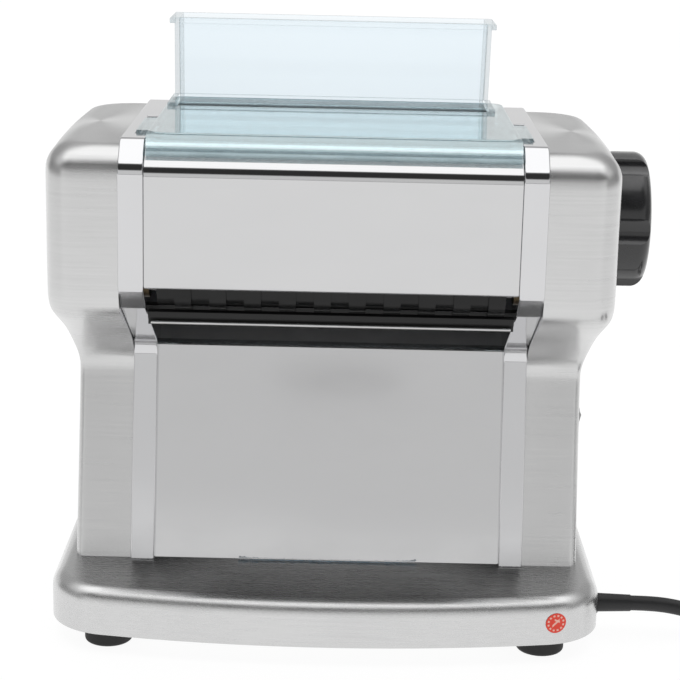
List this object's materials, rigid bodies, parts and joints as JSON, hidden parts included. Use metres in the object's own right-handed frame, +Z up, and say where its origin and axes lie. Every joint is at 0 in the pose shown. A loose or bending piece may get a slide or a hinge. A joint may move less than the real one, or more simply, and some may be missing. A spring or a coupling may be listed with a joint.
{
  "type": "electric pasta maker",
  "caption": "Electric pasta maker with smooth and grooved rollers, clear guard and hopper, thickness knob, steel shells, low base and mains lead.",
  "frame": {"origin": "middle of the overall box without the lead, on the counter under the feet", "axes": "+Z up, +X to the machine's right as seen by a user in front of it, the front faces -Y"},
  "size_m": [0.5271, 0.23, 0.327],
  "materials": {
    "brushed_sheet": "brushed",
    "polished_sheet": "mirror polished sheet",
    "polished_frame": "polished",
    "plain_steel": "plain",
    "roller_steel": "ground",
    "gear_steel": "oiled",
    "bush_brass": "turned",
    "bare_aluminium": "drawn",
    "motor_paint": "satin",
    "clear_blue": "clear acrylic",
    "black_gloss": "gloss",
    "grey_plastic": "satin",
    "black_rubber": "matt",
    "black_cord": "matt",
    "pin_metal": "plated"
  },
  "bodies": {
    "machine": {"base_pan": "brushed_sheet", "base_plate": "plain_steel", "foot_front_left": "black_rubber", "foot_front_right": "black_rubber", "foot_back_left": "black_rubber", "foot_back_right": "black_rubber", "foot_screws": "plain_steel", "left_side_frame": "polished_frame", "right_side_frame": "polished_frame", "left_shell": "brushed_sheet", "right_shell": "brushed_sheet", "upper_front_plate": "polished_sheet", "lower_front_panel": "polished_sheet", "rear_panel": "brushed_sheet", "dough_chute": "plain_steel", "rear_comb": "plain_steel", "front_comb": "plain_steel", "tie_rods": "plain_steel", "left_roller_bush": "bush_brass", "right_roller_bush": "bush_brass", "left_rear_cutter_bush": "bush_brass", "right_rear_cutter_bush": "bush_brass", "left_front_cutter_bush": "bush_brass", "right_front_cutter_bush": "bush_brass", "idler_pin": "plain_steel", "reducer_pin": "plain_steel", "motor_can": "motor_paint", "motor_cradle": "motor_paint", "capacitor": "bare_aluminium", "spindle_bracket": "plain_steel", "switch_frame": "grey_plastic", "cord_gland": "black_cord", "power_cord": "black_cord", "cord_coil": "black_cord", "plug_body": "black_cord", "plug_pins": "pin_metal"},
    "rear_roller": {"rear_roller": "roller_steel", "rear_roller_gear": "gear_steel", "drive_gear": "gear_steel"},
    "roller_carriage": {"left_roller_block": "bush_brass", "right_roller_block": "bush_brass"},
    "front_roller": {"front_roller": "roller_steel", "front_roller_gear": "gear_steel"},
    "rear_cutter": {"rear_cutter": "roller_steel", "rear_cutter_gear": "gear_steel"},
    "front_cutter": {"front_cutter": "roller_steel", "front_cutter_gear": "gear_steel"},
    "idler": {"idler_gear": "gear_steel"},
    "reducer": {"reducer_small_gear": "gear_steel", "reducer_big_gear": "gear_steel", "reducer_hub": "gear_steel"},
    "motor_rotor": {"motor_shaft": "plain_steel", "motor_pinion": "gear_steel"},
    "knob": {"thickness_knob": "black_gloss", "knob_spindle": "plain_steel"},
    "rocker": {"switch_rocker": "grey_plastic"},
    "guard": {"guard": "clear_blue"},
    "hopper": {"hopper": "clear_blue"}
  },
  "joints": [
    {"name": "rear_roller_spin", "type": "hinge", "parent": "machine", "child": "rear_roller", "pos_m": [0, 0.021, 0.228], "axis": [1, 0, 0], "continuous": true},
    {"name": "carriage_slide", "type": "slide", "parent": "machine", "child": "roller_carriage", "axis": [0, -1, 0], "range_m": [0, 0.003]},
    {"name": "front_roller_spin", "type": "hinge", "parent": "roller_carriage", "child": "front_roller", "pos_m": [0, -0.02, 0.228], "axis": [1, 0, 0], "continuous": true},
    {"name": "rear_cutter_spin", "type": "hinge", "parent": "machine", "child": "rear_cutter", "pos_m": [0, -0.053, 0.204], "axis": [1, 0, 0], "continuous": true},
    {"name": "front_cutter_spin", "type": "hinge", "parent": "machine", "child": "front_cutter", "pos_m": [0, -0.085, 0.204], "axis": [1, 0, 0], "continuous": true},
    {"name": "idler_spin", "type": "hinge", "parent": "machine", "child": "idler", "pos_m": [0, -0.02436, 0.20097], "axis": [1, 0, 0], "continuous": true},
    {"name": "reducer_spin", "type": "hinge", "parent": "machine", "child": "reducer", "pos_m": [0, 0.02715, 0.17556], "axis": [1, 0, 0], "continuous": true},
    {"name": "motor_spin", "type": "hinge", "parent": "machine", "child": "motor_rotor", "pos_m": [0, 0.025, 0.118], "axis": [1, 0, 0], "continuous": true},
    {"name": "knob_turn", "type": "hinge", "parent": "machine", "child": "knob", "pos_m": [0, -0.02, 0.228], "axis": [1, 0, 0], "range_deg": [0, 180]},
    {"name": "rocker_tilt", "type": "hinge", "parent": "machine", "child": "rocker", "pos_m": [0.12695, -0.004, 0.103], "axis": [0, -1, 0], "range_deg": [0, 10]},
    {"name": "guard_lift", "type": "slide", "parent": "machine", "child": "guard", "axis": [0, 0, 1], "range_m": [0, 0.1]},
    {"name": "hopper_lift", "type": "slide", "parent": "guard", "child": "hopper", "axis": [0, 0.5508, 0.8346], "range_m": [0, 0.1]}
  ],
  "couplings": [
    {"joint": "front_roller_spin", "follows": "rear_roller_spin", "ratio": -1},
    {"joint": "idler_spin", "follows": "rear_roller_spin", "ratio": -3.125},
    {"joint": "rear_cutter_spin", "follows": "rear_roller_spin", "ratio": 2.5},
    {"joint": "front_cutter_spin", "follows": "rear_roller_spin", "ratio": -2.5},
    {"joint": "reducer_spin", "follows": "rear_roller_spin", "ratio": -3.125},
    {"joint": "motor_spin", "follows": "rear_roller_spin", "ratio": 15.625},
    {"joint": "knob_turn", "follows": "carriage_slide", "rad_per_m": 1047.2}
  ]
}
